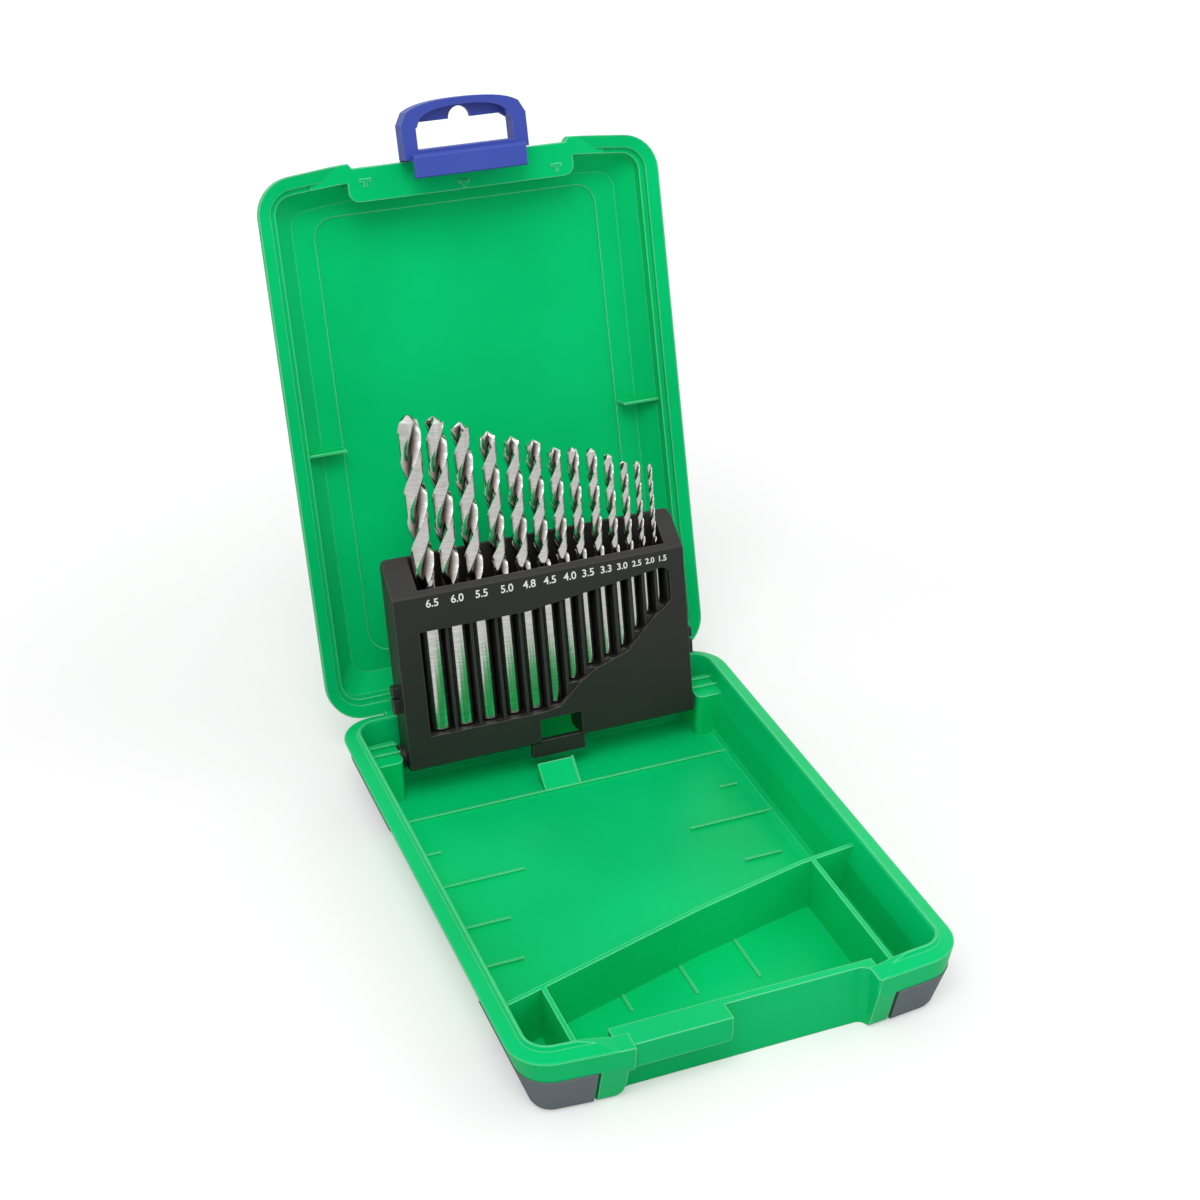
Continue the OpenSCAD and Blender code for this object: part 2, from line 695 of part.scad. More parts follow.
// The sloping rim and the step that takes the base's lip. It is flat
// beside the latch, where the base's lip is left out.
module lid_groove() {
  difference() {
    shell([[-2, split_z + lid_gap - 1.7],
      [0, split_z + lid_gap],
      [0.3, split_z + lid_gap + 0.25],
      [lip_inset, split_z + lip_rise / 2 + 0.55],
      [lip_inset + 0.1, step_z],
      [step_in + 1, step_z]]);
    translate([0, flap_y, 0]) rotate([90, 0, 0]) linear_extrude(far)
      polygon([[-lip_half - lip_fade, lip_z + lid_gap], [-lip_half, split_z + lid_gap],
        [lip_half, split_z + lid_gap], [lip_half + lip_fade, lip_z + lid_gap],
        [lip_half + lip_fade, far], [-lip_half - lip_fade, far]]);
  }
}

module lid_cavity() {
  shell([[step_in, split_z - 0.1],
    [step_in, step_z],
    [step_in + 0.3, step_z + inner_wall_h],
    [slope_in, lid_z]]);
}

// Front zone: the flap and rail that the latch clips round.
module lid_front() {
  z0 = split_z + lid_gap;
  translate([0, 0, z0]) linear_extrude(flap_t)
    polygon(concat([[-flap_half, notch_y]],
      arc(-flap_half + flap_r, flap_y - flap_r, flap_r, 180, 90, 5),
      arc(flap_half - flap_r, flap_y - flap_r, flap_r, 90, 0, 5), [[flap_half, notch_y]]));
  intersection() {
    lid_outer();
    union() {
      box(-flap_half, flap_half, notch_y, notch_y + rail_w, z0, rail_top);
      box(-flap_half, flap_half, notch_y + rail_low_w, notch_y + rail_w, z0, lid_z - 1.5);
    }
  }
}

// Small hooked bosses on the flap.
module flap_hooks() {
  for (p = hooks) translate([p[0], front_y + p[1], split_z + lid_gap - 0.25]) {
    translate([-1.6, -0.5, 0]) cube([3.2, 1, 0.6]);
    translate([-0.5, -0.5, 0]) cube([1, 2.4, 0.6]);
  }
}

module lid_notch() {
  h = notch_half;
  linear_extrude(lid_top + 1) polygon([[-h - 0.6, -far], [-h - 0.6, front_y + 0.6], [-h + 0.9, notch_y],
    [h - 0.9, notch_y], [h + 0.6, front_y + 0.6], [h + 0.6, -far]]);
  box(-h, h, -far, notch_y + rail_low_w, rail_top, lid_top + 1);
}

module lid_knuckles() {
  mirrored() {
    x0 = hinge_x - lid_knuckle / 2;
    rod_x(x0, x0 + lid_knuckle, hinge_y, hinge_z, knuckle_r);
    bar_x(x0, x0 + lid_knuckle, [[hinge_y - 0.7, hinge_z], [hinge_y + knuckle_r, hinge_z],
      [hinge_y + knuckle_r, hinge_z + arm_bend], [hinge_y + 0.2, hinge_z + arm_h],
      [hinge_y - 1.6, hinge_z + arm_h], [half_l, hinge_z + arm_bend],
      [hinge_y - 0.7, hinge_z + arm_bend - 0.2]]);
  }
}

module lid_shell_closed() {
  difference() {
    union() {
      difference() {
        lid_outer();
        lid_groove();
        lid_cavity();
        lid_notch();
      }
      lid_front();
      lid_knuckles();
    }
    // recessed panel inside the top
    translate([0, 0, lid_z - 1]) linear_extrude(1 + panel_d) panel_shape();
    mirrored() rod_x(hinge_x - hinge_reach - 1, hinge_x + hinge_reach + 1,
      hinge_y, hinge_z, hinge_bore_r);
  }
  mirrored() box(half_w - panel_in[0] + 0.5, half_w - step_in + 0.4, -lid_rib_in - rib_t / 2,
    -lid_rib_in + rib_t / 2, split_z + 4.6, lid_z + 0.5);
  flap_hooks();
}

module panel_shape() {
  r = panel_r;
  x = half_w - panel_in[0] - r;
  y0 = front_y + panel_in[1] + r;
  y1 = half_l - panel_in[2] - r;
  polygon(concat(arc(x, y1, r, 0, 90, 6), arc(-x, y1, r, 90, 180, 6),
    arc(-x, y0, r, 180, 270, 6), arc(x, y0, r, 270, 360, 6)));
}

module lid_shell() {
  color([0.02, 0.74, 0.4]) opened() lid_shell_closed();
}

// Curve of an arch from one side to the other: half width h, from y0
// out by reach.
function arch_curve(h, y0, reach, n) = [for (k = [0:n]) let (t = -1 + 2 * k / n)
  [h * t, y0 - reach * pow(1 - pow(abs(t), arch_power), 1 / arch_power)]];

module arch_plate() {
  root = notch_y - latch_gap - 0.5;
  polygon(concat([[-arch_half, root]],
    arch_curve(arch_half, front_y - shoulder_out, arch_out - shoulder_out, 20),
    [[arch_half, root]]));
}

// Hang hole with its hook notch.
module arch_hole() {
  h = arch_half - arch_leg;
  y0 = front_y - hole_root;
  y1 = front_y - hole_out;
  polygon([[-h, y0], [-h, y1 + hole_corner[1]], [-h + hole_corner[0], y1],
    [h - hole_corner[0], y1], [h, y1 + hole_corner[1]], [h, y0]]);
  translate([0, y1]) circle(r = hook_r, $fn = 24);
}

// Recess that leaves a thin web inside the arch.
module arch_recess() {
  h = arch_half - arch_leg;
  y0 = front_y - shoulder_out + arch_band;
  polygon(concat([[-h, front_y - hole_root]],
    arch_curve(h, y0, arch_out - shoulder_out, 20), [[h, front_y - hole_root]]));
}

module slide_latch_closed() {
  inner = notch_y - latch_gap;
  outer = inner - leg_t;
  hook = notch_y + rail_hook;
  top = rail_top + latch_gap;
  difference() {
    union() {
      bar_x(-bar_half, bar_half, [[outer, catch_z + 0.6], [outer + 0.6, catch_z],
        [catch_y - 0.4, catch_z], [catch_y, catch_z + 0.5],
        [catch_y, catch_z + catch_t - 0.3], [catch_y - 0.4, catch_z + catch_t],
        [inner, catch_z + catch_t], [inner, top], [hook, top],
        [hook, top + rail_hook_t], [outer + 0.8, top + rail_hook_t], [outer, top + rail_hook_t - 0.8]]);
      translate([0, 0, arch_z]) linear_extrude(arch_t) arch_plate();
    }
    translate([0, 0, arch_z - 1]) linear_extrude(arch_t + 2) arch_hole();
    // room for the ledge and the rail behind the arch
    box(-far, far, inner, far, catch_z + catch_t, top);
    translate([0, 0, arch_z - 1]) linear_extrude(1 + web_recess) arch_recess();
  }
}

module slide_latch() {
  color([0.24, 0.33, 0.69]) opened() slide_latch_closed();
}

// The bit holder and its drills are drawn upright, then leaned back.
module leaned() {
  translate([0, holder_y, holder_z]) rotate([-holder_lean, 0, 0]) children();
}

function pocket_left(i) =
  i == 0 ? pocket_x0 : (drill_x[i - 1] + drill_d[i - 1] / 2 + drill_x[i] - drill_d[i] / 2) / 2;
function pocket_right(i) = i == drill_count - 1 ? pocket_x1 : pocket_left(i + 1);

// The window's lower edge follows the ends of the shanks.
module window_cut() {
  last = drill_count - 1;
  r = window_r;
  translate([0, front_wall + eps, 0]) rotate([90, 0, 0]) linear_extrude(front_wall + 1)
    polygon(concat([[pocket_x0, drill_foot[0] - window_lip]],
      [for (i = [0:last]) [drill_x[i], drill_foot[i] - window_lip]],
      [[pocket_x1, drill_foot[last] + 1.4]],
      arc(pocket_x1 - r, window_top[1] - r, r, 0, 90, 4),
      [[window_bend, window_top[0]], [pocket_x0, window_top[0]]]));
}

module bit_holder() {
  side = holder_w / 2;
  color([0.12, 0.11, 0.1]) leaned() {
    difference() {
      intersection() {
        bar_x(-side, side, [[0, 0.6], [0.6, 0], [holder_t - 1, 0], [holder_t, 1],
          [holder_t, pit_top - 1], [holder_t - 0.6, pit_top - 0.4],
          [0.4, front_h + 0.5], [0, front_h]]);
        // rounded upper corners, seen from the front
        translate([0, far / 2, 0]) rotate([90, 0, 0]) linear_extrude(far)
          polygon([[-side, -1], [side, -1], [side, pit_top - 2.4], [side - 0.7, pit_top - 0.7],
            [side - 2.4, pit_top], [-side + 2.4, pit_top], [-side + 0.7, pit_top - 0.7],
            [-side, pit_top - 2.4]]);
      }
      for (i = [0:drill_count - 1]) {
        box(pocket_left(i) + pocket_wall / 2, pocket_right(i) - pocket_wall / 2,
          front_wall, holder_t - back_wall, drill_foot[i] - pocket_gap, bridge_z0);
        translate([drill_x[i], drill_depth, bridge_z0 - 1])
          cylinder(h = bridge_z1 - bridge_z0 + 2, r = drill_d[i] / 2 + drill_fit, $fn = round_fn);
      }
      box(drill_x[0] - drill_d[0] / 2 - drill_fit - mouth_gap, pocket_x1 - 0.4,
        front_wall, holder_t - back_wall, bridge_z1, far);
      window_cut();
      box(notch_x[0], notch_x[1], -1, holder_t + 1, -1, notch_h);
    }
    // tongue that meets the tab of the base
    box(tongue_x[0], tongue_x[1], 0.8, 0.8 + tongue_t, -tongue_l, 0.5);
    // lugs on the ends that the lid carries along
    mirrored() for (g = lugs) box(side - eps, side + lug_l, lug_in, lug_in + lug_t, g[0], g[0] + g[1]);
  }
  color([0.12, 0.11, 0.1]) mirrored() {
    rod_x(side - 1, side + boss_l, fold_y, fold_z, boss_r);
    rod_x(side - 1, side + fold_pin_l, fold_y, fold_z, fold_pin_r);
  }
}

// Radius share round the drill: a land, then a flute, in half a turn.
land = [[-36, 1], [-14, 1], [10, 1], [34, 1], [52, 0.66], [78, 0.36], [106, 0.38], [126, 0.68]];

// One cross section: depth 0 is round, depth 1 is the full flute.
function section(r, z, turn, depth) =
  [for (h = [0, 180], p = land)
    let (s = r * (1 - depth * (1 - p[1])), a = p[0] + h + turn)
    [s * cos(a), s * sin(a), z]];

// A fluted body with a run-out at its foot and a cone at its tip.
module flutes(d, z0, z1) {
  r = d / 2;
  tip_h = r / tan(point_angle / 2);
  lead = flute_lead * d;
  top = z1 - tip_h;
  n = ceil((top - z0) / lead * flute_slices);
  body = [for (k = [0:n])
    let (z = z0 + (top - z0) * k / n)
    section(r * (k == 0 ? 0.97 : 0.995), z, 360 * z / lead, min(1, k / 2))];
  tip = [for (t = [0.45, 0.9]) section(r * (1 - t), top + tip_h * t, 360 * top / lead, 1 - t * 0.3)];
  skin(concat(body, tip));
}

module drill(i) {
  d = drill_d[i];
  foot = drill_foot[i];
  split = drill_tip[i] - (drill_tip[i] - foot) * flute_share;
  color([0.72, 0.73, 0.74]) leaned() translate([drill_x[i], drill_depth, 0]) {
    translate([0, 0, foot]) cylinder(h = 0.3, r1 = d / 2 - 0.25, r2 = d / 2, $fn = round_fn);
    translate([0, 0, foot + 0.3]) cylinder(h = split - foot - 0.3, r = d / 2, $fn = round_fn);
    flutes(d, split - 0.6, drill_tip[i]);
  }
}

base_shell();
corner_pad(-1, -1);  // corner_pad_front_left
corner_pad(1, -1);  // corner_pad_front_right
corner_pad(-1, 1);  // corner_pad_rear_left
corner_pad(1, 1);  // corner_pad_rear_right
hinge_pin(-1);  // hinge_pin_left
hinge_pin(1);  // hinge_pin_right
lid_shell();
slide_latch();
bit_holder();
drill(0);  // drill_6_5
drill(1);  // drill_6_0
drill(2);  // drill_5_5
drill(3);  // drill_5_0
drill(4);  // drill_4_8
drill(5);  // drill_4_5
drill(6);  // drill_4_0
drill(7);  // drill_3_5
drill(8);  // drill_3_3
drill(9);  // drill_3_0
drill(10);  // drill_2_5
drill(11);  // drill_2_0
drill(12);  // drill_1_5
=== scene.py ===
"""Looks of the drill bit case: moulded plastics, ground drills, printed sizes, floor, light and camera."""
import math

import bpy
from mathutils import Matrix, Vector


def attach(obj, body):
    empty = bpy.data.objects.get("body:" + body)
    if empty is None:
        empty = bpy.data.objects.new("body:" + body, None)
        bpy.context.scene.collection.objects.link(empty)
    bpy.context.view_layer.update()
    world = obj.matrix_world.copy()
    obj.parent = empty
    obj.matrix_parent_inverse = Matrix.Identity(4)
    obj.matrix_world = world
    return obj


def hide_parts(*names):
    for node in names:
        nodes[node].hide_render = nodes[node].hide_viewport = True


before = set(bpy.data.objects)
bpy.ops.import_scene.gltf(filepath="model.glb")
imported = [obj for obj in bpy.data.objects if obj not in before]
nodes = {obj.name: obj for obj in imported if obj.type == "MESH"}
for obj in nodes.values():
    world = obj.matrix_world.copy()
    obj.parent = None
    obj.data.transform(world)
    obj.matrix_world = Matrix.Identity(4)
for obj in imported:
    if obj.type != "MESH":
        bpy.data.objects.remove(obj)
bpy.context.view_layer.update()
MM = 0.001


# Base tray
# One injection moulding in polypropylene, with a satin skin. The colour drifts
# slowly where the melt flowed, and pale lines painted on rounded edges stand for
# the light they catch. The tint of the sheen and the light let into the skin keep the green deep.
EDGE_SAMPLES = 6
# share of the noise's range that its two tones blend over
NOISE_LOW, NOISE_HIGH = 0.3, 0.7
# sockets of the Mix node that take and give colours
MIX_A, MIX_B, MIX_RESULT = 6, 7, 2


def srgb(hex_colour):
    """Linear RGBA of a colour written as RRGGBB."""
    values = [int(hex_colour[i:i + 2], 16) / 255 for i in (0, 2, 4)]
    linear = [v / 12.92 if v <= 0.04045 else ((v + 0.055) / 1.055) ** 2.4 for v in values]
    return (*linear, 1.0)


def add(tree, kind, inputs=None, **settings):
    """Adds a shader node, sets its properties, and fills or links its inputs."""
    node = tree.nodes.new(kind)
    for key, value in settings.items():
        setattr(node, key, value)
    for key, value in (inputs or {}).items():
        if isinstance(value, bpy.types.NodeSocket):
            tree.links.new(value, node.inputs[key])
        else:
            node.inputs[key].default_value = value
    return node


def material(name):
    """A new material with its tree, its Principled shader and object coordinates in metres."""
    mat = bpy.data.materials.new(name)
    mat.use_nodes = True
    tree = mat.node_tree
    shader = tree.nodes["Principled BSDF"]
    place = add(tree, "ShaderNodeTexCoord").outputs["Object"]
    return mat, tree, shader, place


def mottle(tree, place, size_mm, detail, low, high):
    """A colour that drifts from low to high in patches of about size_mm, and its pattern."""
    inputs = {"Vector": place, "Scale": 1 / (size_mm * MM), "Detail": detail}
    pattern = add(tree, "ShaderNodeTexNoise", inputs).outputs["Fac"]
    inputs = {"Value": pattern, "From Min": NOISE_LOW, "From Max": NOISE_HIGH}
    share = add(tree, "ShaderNodeMapRange", inputs).outputs["Result"]
    inputs = {"Factor": share, MIX_A: srgb(low), MIX_B: srgb(high)}
    mix = add(tree, "ShaderNodeMix", inputs, data_type="RGBA")
    return mix.outputs[MIX_RESULT], pattern


def edge_highlight_mask(tree, soft, width_mm):
    """Mask of the painted edge highlight: one on rounded outer edges, zero on flats and in inner corners."""
    normal = add(tree, "ShaderNodeNewGeometry").outputs["True Normal"]
    turned = add(tree, "ShaderNodeVectorMath", {0: soft, 1: normal}, operation="DOT_PRODUCT")
    inputs = {"Value": turned.outputs["Value"], "From Min": 0.99, "From Max": 0.86}
    bent = add(tree, "ShaderNodeMapRange", inputs).outputs["Result"]
    inputs = {"Distance": width_mm * MM * 2}
    open_air = add(tree, "ShaderNodeAmbientOcclusion", inputs, samples=EDGE_SAMPLES).outputs["AO"]
    inputs = {"Value": open_air, "From Min": 0.7, "From Max": 0.9}
    outer = add(tree, "ShaderNodeMapRange", inputs).outputs["Result"]
    return add(tree, "ShaderNodeMath", {0: bent, 1: outer}, operation="MULTIPLY").outputs["Value"]


def moulded_plastic(name, low, high, highlight_colour, rough, grain_mm, edge_mm, specular):
    """Moulded plastic: slow colour drift, painted highlight on outer edges, fine grain and softened corners.

    The real grain is finer, and is drawn as coarse as it needs to show.
    """
    flow_mm, sheen_mm, highlight_share, grain_depth_mm = 60, 18, 0.8, 0.02
    mat, tree, shader, place = material(name)
    soft = add(tree, "ShaderNodeBevel", {"Radius": edge_mm * MM}, samples=EDGE_SAMPLES).outputs["Normal"]
    drift = mottle(tree, place, flow_mm, 2, low, high)[0]
    # painted highlight: rounded outer edges are lightened towards a pale colour
    edge_highlight = edge_highlight_mask(tree, soft, edge_mm)
    share = add(tree, "ShaderNodeMath", {0: edge_highlight, 1: highlight_share}, operation="MULTIPLY").outputs["Value"]
    inputs = {"Factor": share, MIX_A: drift, MIX_B: srgb(highlight_colour)}
    colour = add(tree, "ShaderNodeMix", inputs, data_type="RGBA")
    tree.links.new(colour.outputs[MIX_RESULT], shader.inputs["Base Color"])
    grain = add(tree, "ShaderNodeTexNoise", {"Vector": place, "Scale": 1 / (grain_mm * MM), "Detail": 3})
    inputs = {"Height": grain.outputs["Fac"], "Strength": 0.4,
              "Distance": grain_depth_mm * MM, "Normal": soft}
    bump = add(tree, "ShaderNodeBump", inputs)
    tree.links.new(bump.outputs["Normal"], shader.inputs["Normal"])
    sheen = add(tree, "ShaderNodeTexNoise", {"Vector": place, "Scale": 1 / (sheen_mm * MM), "Detail": 3})
    inputs = {"Value": sheen.outputs["Fac"], "From Min": NOISE_LOW, "From Max": NOISE_HIGH,
              "To Min": rough - 0.04, "To Max": rough + 0.05}
    patches = add(tree, "ShaderNodeMapRange", inputs).outputs["Result"]
    tree.links.new(patches, shader.inputs["Roughness"])
    shader.inputs["Specular IOR Level"].default_value = specular
    return mat, shader


def finish_node(name, mat):
    """Gives a CAD piece its material and shades its facetted rounds smooth."""
    sharp_from = math.radians(25)
    piece = nodes[name]
    piece.data.materials.clear()
    piece.data.materials.append(mat)
    piece.data.shade_smooth()
    piece.data.set_sharp_from_angle(angle=sharp_from)
    even = piece.modifiers.new("even_flats", "WEIGHTED_NORMAL")
    even.keep_sharp = True


green, shader = moulded_plastic("polypropylene_green", low="02B968", high="04CB76", highlight_colour="A6EFCB",
                                rough=0.36, grain_mm=0.5, edge_mm=0.45, specular=0.3)
shader.inputs["Specular Tint"].default_value = srgb("50F0B0")
shader.inputs["Subsurface Weight"].default_value = 0.2
shader.inputs["Subsurface Radius"].default_value = (0.2, 1.0, 0.5)
shader.inputs["Subsurface Scale"].default_value = 1.5 * MM
finish_node("base_shell", green)


# Corner pads
# Four soft grip pads in grey thermoplastic rubber, moulded over the corners of
# the tray. They are matt and a little dusty looking, with a fine grain.
# Their rounded outer edges are painted paler as a highlight.
rubber = moulded_plastic("soft_rubber_grey", low="616A6F", high="6C7579", highlight_colour="8C9599",
                         rough=0.62, grain_mm=0.3, edge_mm=0.6, specular=0.25)[0]
for corner in ("front_left", "front_right", "rear_left", "rear_right"):
    finish_node(f"corner_pad_{corner}", rubber)


# Hinge pins
# Two short pins of drawn steel wire in the knuckles at the back. They are dull
# grey, with faint lines along their length.
def lined_steel(name, low, high, rough, stretch):
    """Bright steel with fine lines: stretch squeezes the pattern along each axis.

    Real drawing and grinding lines are finer, and are drawn as coarse as they need to show.
    """
    line_mm, line_depth_mm = 1.2, 0.01
    mat, tree, shader, place = material(name)
    squeezed = add(tree, "ShaderNodeMapping", {"Vector": place, "Scale": stretch}).outputs["Vector"]
    tone, lines = mottle(tree, squeezed, line_mm, 4, low, high)
    tree.links.new(tone, shader.inputs["Base Color"])
    inputs = {"Height": lines, "Strength": 0.25, "Distance": line_depth_mm * MM}
    bump = add(tree, "ShaderNodeBump", inputs)
    tree.links.new(bump.outputs["Normal"], shader.inputs["Normal"])
    shader.inputs["Metallic"].default_value = 1.0
    shader.inputs["Roughness"].default_value = rough
    return mat, tree, shader, tone


wire = lined_steel("drawn_wire_steel", low="8D8F90", high="B4B6B8", rough=0.35, stretch=(0.25, 6, 6))[0]
finish_node("hinge_pin_left", wire)
finish_node("hinge_pin_right", wire)


# Lid
# The same green polypropylene as the tray, moulded as a shallow dish with a
# stepped rim, a recessed panel and a flap with a rail for the latch.
finish_node("lid_shell", green)


# Latch
# A blue slide with a hang loop, moulded in a harder plastic and snapped over
# the rail of the lid. Its faces are satin, with a pale painted highlight on its rounded edges.
blue = moulded_plastic("moulded_plastic_blue", low="3042A0", high="394EAE", highlight_colour="7388D6",
                       rough=0.38, grain_mm=0.4, edge_mm=0.3, specular=0.35)[0]
finish_node("slide_latch", blue)


# Bit holder
# A black moulding with one pocket for each drill, open to the front in a
# window. Its satin surface looks dark grey where it faces the light.
HOLDER_Y, HOLDER_Z = 55.5, 12
LEAN = math.radians(-12)
HOLDER = Matrix.Translation((0, HOLDER_Y * MM, HOLDER_Z * MM)) @ Matrix.Rotation(LEAN, 4, "X")
# Its rounded outer edges are painted grey as a highlight.
black = moulded_plastic("moulded_plastic_black", low="191817", high="22201F", highlight_colour="5C5B5A",
                        rough=0.42, grain_mm=0.35, edge_mm=0.4, specular=0.4)[0]
finish_node("bit_holder", black)


# Drills
# Twist drills of ground high speed steel: a round shank, two helical flutes
# with a run-out, and a ground point. The flutes carry painted shade and reflection, darker than the lands.
ROW_DEPTH = 5.2
CHAMFER, CHAMFER_H = 0.25, 0.3
HALF_POINT = math.radians(59)
# shares of the point's height that have a ring
POINT_SHARES = (0.25, 0.5, 0.75, 0.93)
# fluted share of the length, then lead and run-out of the flutes in diameters
FLUTE_SHARE, FLUTE_LEAD, RUN_OUT = 0.62, 5.44, 1.1
# where margin and land end in each half turn, in degrees, and their radius shares
MARGIN_END, MARGIN_R = 8, 0.995
LAND_END, LAND_R = 88, 0.955
# depth of a flute in radii, how full its curve is, and how far it is spread
FLUTE_DEPTH, FLUTE_FULLNESS, FLUTE_SPREAD = 0.62, 0.75, 1.02
# where a flute ends at the next margin, and the radius share there
HEEL_START, HEEL_R = 0.98, 0.99
AROUND, SLICES_PER_TURN, LEAST_SLICES = 40, 36, 40
# diameter, middle along the row, foot and tip above the holder's bottom edge, all in mm
DRILLS = [(6.5, -32.8, 10, 103.2), (6.0, -25.4, 10, 101.5), (5.5, -18.1, 10, 98.6),
          (5.0, -10.5, 10, 94.6), (4.8, -3.7, 10, 92), (4.5, 2.6, 10.8, 90), (4.0, 8.7, 16.7, 86.7),
          (3.5, 14.3, 20.2, 85.8), (3.3, 19.9, 21.9, 84.6), (3.0, 24.9, 23.7, 82),
          (2.5, 29.5, 28.4, 79), (2.0, 33.6, 32.3, 78.3), (1.5, 37.5, 35, 76.8)]


def flute_shape(angle):
    """Radius share at an angle in degrees: margin, cleared land, then a round flute."""
    a = angle % 180
    if a < MARGIN_END:
        return MARGIN_R
    if a < LAND_END:
        return LAND_R
    t = (a - LAND_END) / (180 - LAND_END)
    if t >= HEEL_START:
        return HEEL_R
    return LAND_R - FLUTE_DEPTH * math.sin(math.pi * t * FLUTE_SPREAD) ** FLUTE_FULLNESS


def drill_levels(r, foot, start, shoulder, point):
    """Height, radius and flute depth of each ring, from the shank's end to the point."""
    levels = [(foot, r - CHAMFER, 0), (foot + CHAMFER_H, r, 0), (start - 0.1, r, 0), (start, r, 0)]
    steps = max(LEAST_SLICES, int((shoulder - start) / (FLUTE_LEAD * 2 * r) * SLICES_PER_TURN))
    for k in range(1, steps + 1):
        z = start + (shoulder - start) * k / steps
        levels.append((z, r, min(1, (z - start) / (RUN_OUT * 2 * r))))
    for t in POINT_SHARES:
        levels.append((shoulder + point * t, r * (1 - t), 1 - 0.5 * t))
    return levels


def drill_rings(d, x, foot, tip):
    """Rings of one drill, in metres, and how deep each point lies in a flute."""
    r, lead = d / 2, FLUTE_LEAD * d
    start = tip - (tip - foot) * FLUTE_SHARE
    point = r / math.tan(HALF_POINT)
    rings, depths = [], []
    for z, radius, depth in drill_levels(r, foot, start, tip - point, point):
        turn = 360 * max(0, z - start) / lead
        ring = []
        for k in range(AROUND):
            angle = 360 * k / AROUND
            cut = depth * (1 - flute_shape(angle))
            reach = radius * (1 - cut)
            w = math.radians(angle + turn)
            at = Vector((x + reach * math.cos(w), ROW_DEPTH + reach * math.sin(w), z)) * MM
            ring.append(HOLDER @ at)
            depths.append(cut)
        rings.append(ring)
    return rings, depths


def ring_mesh(name, rings, mat):
    """A closed mesh through rings of points, shaded smooth with its hard edges kept."""
    sharp_from = math.radians(38)
    count, last = len(rings[0]), len(rings) - 1
    verts = [p for ring in rings for p in ring]
    faces = []
    for j in range(last):
        low, high = j * count, (j + 1) * count
        for k in range(count):
            n = (k + 1) % count
            faces.append((low + k, low + n, high + n, high + k))
    faces.append(tuple(range(count - 1, -1, -1)))
    faces.append(tuple(range(last * count, (last + 1) * count)))
    mesh = bpy.data.meshes.new(name)
    mesh.from_pydata(verts, [], faces)
    mesh.materials.append(mat)
    mesh.shade_smooth()
    mesh.set_sharp_from_angle(angle=sharp_from)
    obj = bpy.data.objects.new(name, mesh)
    bpy.context.scene.collection.objects.link(obj)
    return obj


steel, tree, shader, tone = lined_steel("ground_steel_bright", low="C9C6C2", high="F8F6F3",
                                        rough=0.15, stretch=(0.25, 0.25, 6))
flute = add(tree, "ShaderNodeAttribute", attribute_name="flute_depth").outputs["Fac"]
# painted shade: the deeper a point lies in a flute, the darker and browner its colour
flute_shade_share = add(tree, "ShaderNodeMapRange", {"Value": flute, "From Min": 0.08, "From Max": 0.6}).outputs["Result"]
shade = add(tree, "ShaderNodeMix", {"Factor": flute_shade_share, MIX_A: tone, MIX_B: srgb("544A42")}, data_type="RGBA")
tree.links.new(shade.outputs[MIX_RESULT], shader.inputs["Base Color"])

for d, x, foot, tip in DRILLS:
    size = f"{d:.1f}".replace(".", "_")
    rings, depths = drill_rings(d, x, foot, tip)
    piece = ring_mesh(f"twist_drill_{size}", rings, steel)
    layer = piece.data.attributes.new("flute_depth", "FLOAT", "POINT")
    layer.data.foreach_set("value", depths)
    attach(piece, f"drill_body_{size}")
    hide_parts(f"drill_{size}")


# Printed sizes
# The size of each drill, pad printed in white ink on the holder above the
# window. The ink is flat and slightly uneven.
TEXT_SIZE, TEXT_RISE = 3.2, 49.3
TEXT_TO_SPACING = 0.6
TEXT_BOLD, INK_THICKNESS = 0.05, 0.02
INK_SPECK = 0.4
ink, tree, shader, place = material("pad_printed_white")
tree.links.new(mottle(tree, place, INK_SPECK, 3, "DCDCD8", "F4F4F1")[0], shader.inputs["Base Color"])
shader.inputs["Roughness"].default_value = 0.5
upright = Matrix.Rotation(math.radians(90), 4, "X")
for d, x, foot, tip in DRILLS:
    size = f"{d:.1f}".replace(".", "_")
    curve = bpy.data.curves.new(f"size_{size}", "FONT")
    curve.body = f"{d:.1f}"
    curve.align_x, curve.align_y = "CENTER", "CENTER"
    spacing = min(abs(x - other[1]) for other in DRILLS if other[1] != x)
    curve.size = min(TEXT_SIZE, TEXT_TO_SPACING * spacing) * MM
    curve.offset = TEXT_BOLD * MM
    curve.extrude = INK_THICKNESS * MM
    text = bpy.data.objects.new(f"size_{size}", curve)
    bpy.context.scene.collection.objects.link(text)
    bpy.context.view_layer.update()
    mesh = bpy.data.meshes.new_from_object(text.evaluated_get(bpy.context.evaluated_depsgraph_get()))
    bpy.data.objects.remove(text)
    mesh.materials.clear()
    mesh.materials.append(ink)
    mesh.transform(HOLDER @ Matrix.Translation((x * MM, 0, TEXT_RISE * MM)) @ upright)
    label = bpy.data.objects.new(f"printed_size_{size}", mesh)
    bpy.context.scene.collection.objects.link(label)
    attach(label, "holder")


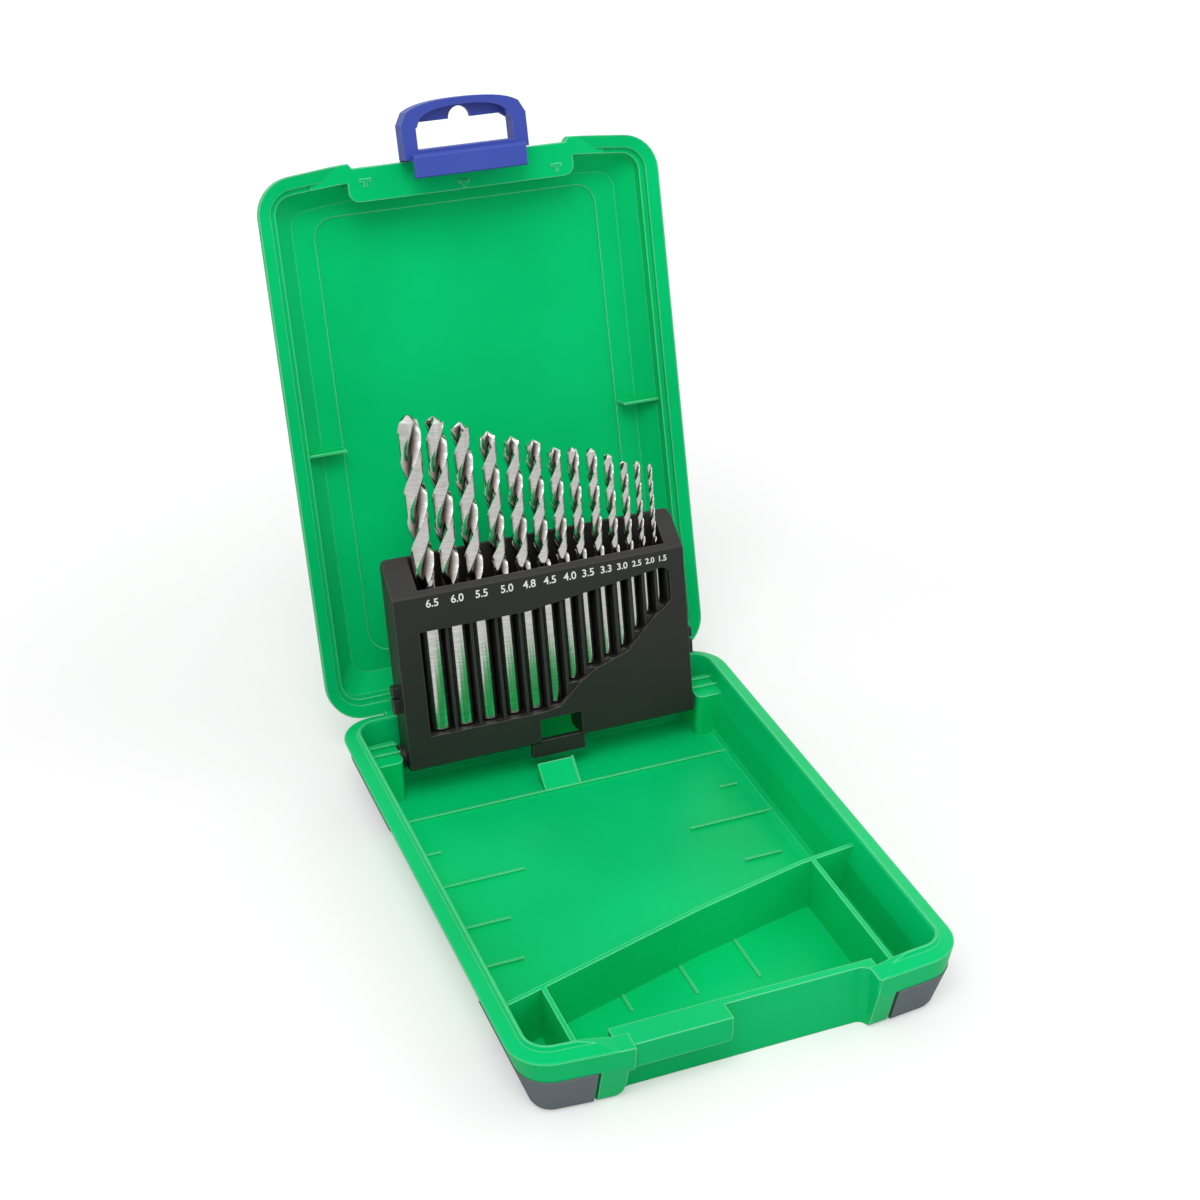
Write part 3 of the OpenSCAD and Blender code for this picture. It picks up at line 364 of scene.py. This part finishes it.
# Studio
# A white sweep under a large soft light from above and in front, with a weak
# fill from the right, as in a catalogue shot on white. The floor glows a little
# towards the camera, more so further away, so that it ends in the white behind.
FLOOR_HALF, FLOOR_DROP = 3.0, 0.1 * MM
GLOW_NEAR, GLOW_FAR = 0.36, 0.6
GLOW_FROM, GLOW_TO = 0.2, 0.7
WORLD_LIGHT = 0.7
WHITE = (1, 1, 1, 1)
LIT_POINT = (0, 0, 0.05)
sweep, tree, shader, place = material("studio_white")
tree.links.new(mottle(tree, place, 400, 2, "CBCBCB", "CFCFCF")[0], shader.inputs["Base Color"])
shader.inputs["Roughness"].default_value = 0.8
shader.inputs["Specular IOR Level"].default_value = 0.1
camera_ray = add(tree, "ShaderNodeLightPath").outputs["Is Camera Ray"]
away = add(tree, "ShaderNodeVectorMath", {0: place}, operation="LENGTH").outputs["Value"]
inputs = {"Value": away, "From Min": GLOW_FROM, "From Max": GLOW_TO,
          "To Min": GLOW_NEAR, "To Max": GLOW_FAR}
lift = add(tree, "ShaderNodeMapRange", inputs).outputs["Result"]
glow = add(tree, "ShaderNodeMath", {0: camera_ray, 1: lift}, operation="MULTIPLY").outputs["Value"]
shader.inputs["Emission Color"].default_value = WHITE
tree.links.new(glow, shader.inputs["Emission Strength"])
mesh = bpy.data.meshes.new("studio_floor")
corners = [(-1, -1), (1, -1), (1, 1), (-1, 1)]
mesh.from_pydata([(x * FLOOR_HALF, y * FLOOR_HALF, -FLOOR_DROP) for x, y in corners], [], [(0, 1, 2, 3)])
mesh.materials.append(sweep)
floor = bpy.data.objects.new("studio_floor", mesh)
bpy.context.scene.collection.objects.link(floor)

world = bpy.data.worlds.new("studio_surround")
bpy.context.scene.world = world
world.use_nodes = True
tree = world.node_tree
tree.nodes.clear()
path = add(tree, "ShaderNodeLightPath").outputs
inputs = {0: path["Is Camera Ray"], 1: path["Is Glossy Ray"]}
direct = add(tree, "ShaderNodeMath", inputs, operation="MAXIMUM").outputs["Value"]
inputs = {0: direct, 1: path["Is Transmission Ray"]}
seen = add(tree, "ShaderNodeMath", inputs, operation="MAXIMUM").outputs["Value"]
light = add(tree, "ShaderNodeBackground", {"Color": WHITE, "Strength": WORLD_LIGHT})
white = add(tree, "ShaderNodeBackground", {"Color": WHITE, "Strength": 1.0})
mix = add(tree, "ShaderNodeMixShader", {0: seen, 1: light.outputs[0], 2: white.outputs[0]})
add(tree, "ShaderNodeOutputWorld", {"Surface": mix.outputs[0]})


def area_light(name, at, size, watts):
    """A square soft light at a place, pointing at the case."""
    lamp = bpy.data.lights.new(name, "AREA")
    lamp.size = size
    lamp.energy = watts
    obj = bpy.data.objects.new(name, lamp)
    bpy.context.scene.collection.objects.link(obj)
    obj.location = at
    obj.rotation_euler = (Vector(LIT_POINT) - Vector(at)).to_track_quat("-Z", "Y").to_euler()


area_light("key_light", at=(-0.35, -0.55, 1.25), size=0.7, watts=8)
area_light("fill_light", at=(0.9, -0.3, 0.9), size=0.8, watts=2)


# Camera
# It stands where the photographer's camera stood, worked out from the outlines
# of the tray and the lid in the photograph.
CAMERA_AT = (-0.1814, -0.43707, 0.36621)
AZIMUTH, ELEVATION = math.radians(21.63), math.radians(30.28)
LENS, SENSOR, NEAREST = 64.55, 36, 0.01
camera = bpy.data.objects.new("camera", bpy.data.cameras.new("camera"))
bpy.context.scene.collection.objects.link(camera)
camera.data.sensor_width = SENSOR
camera.data.lens = LENS
camera.data.clip_start = NEAREST
forward = Vector((math.sin(AZIMUTH) * math.cos(ELEVATION), math.cos(AZIMUTH) * math.cos(ELEVATION),
                  -math.sin(ELEVATION)))
right = forward.cross(Vector((0, 0, 1))).normalized()
up = right.cross(forward)
turned = Matrix((right, up, -forward)).transposed().to_4x4()
camera.matrix_world = Matrix.Translation(CAMERA_AT) @ turned
bpy.context.scene.camera = camera

bpy.context.scene.view_settings.view_transform = "Standard"
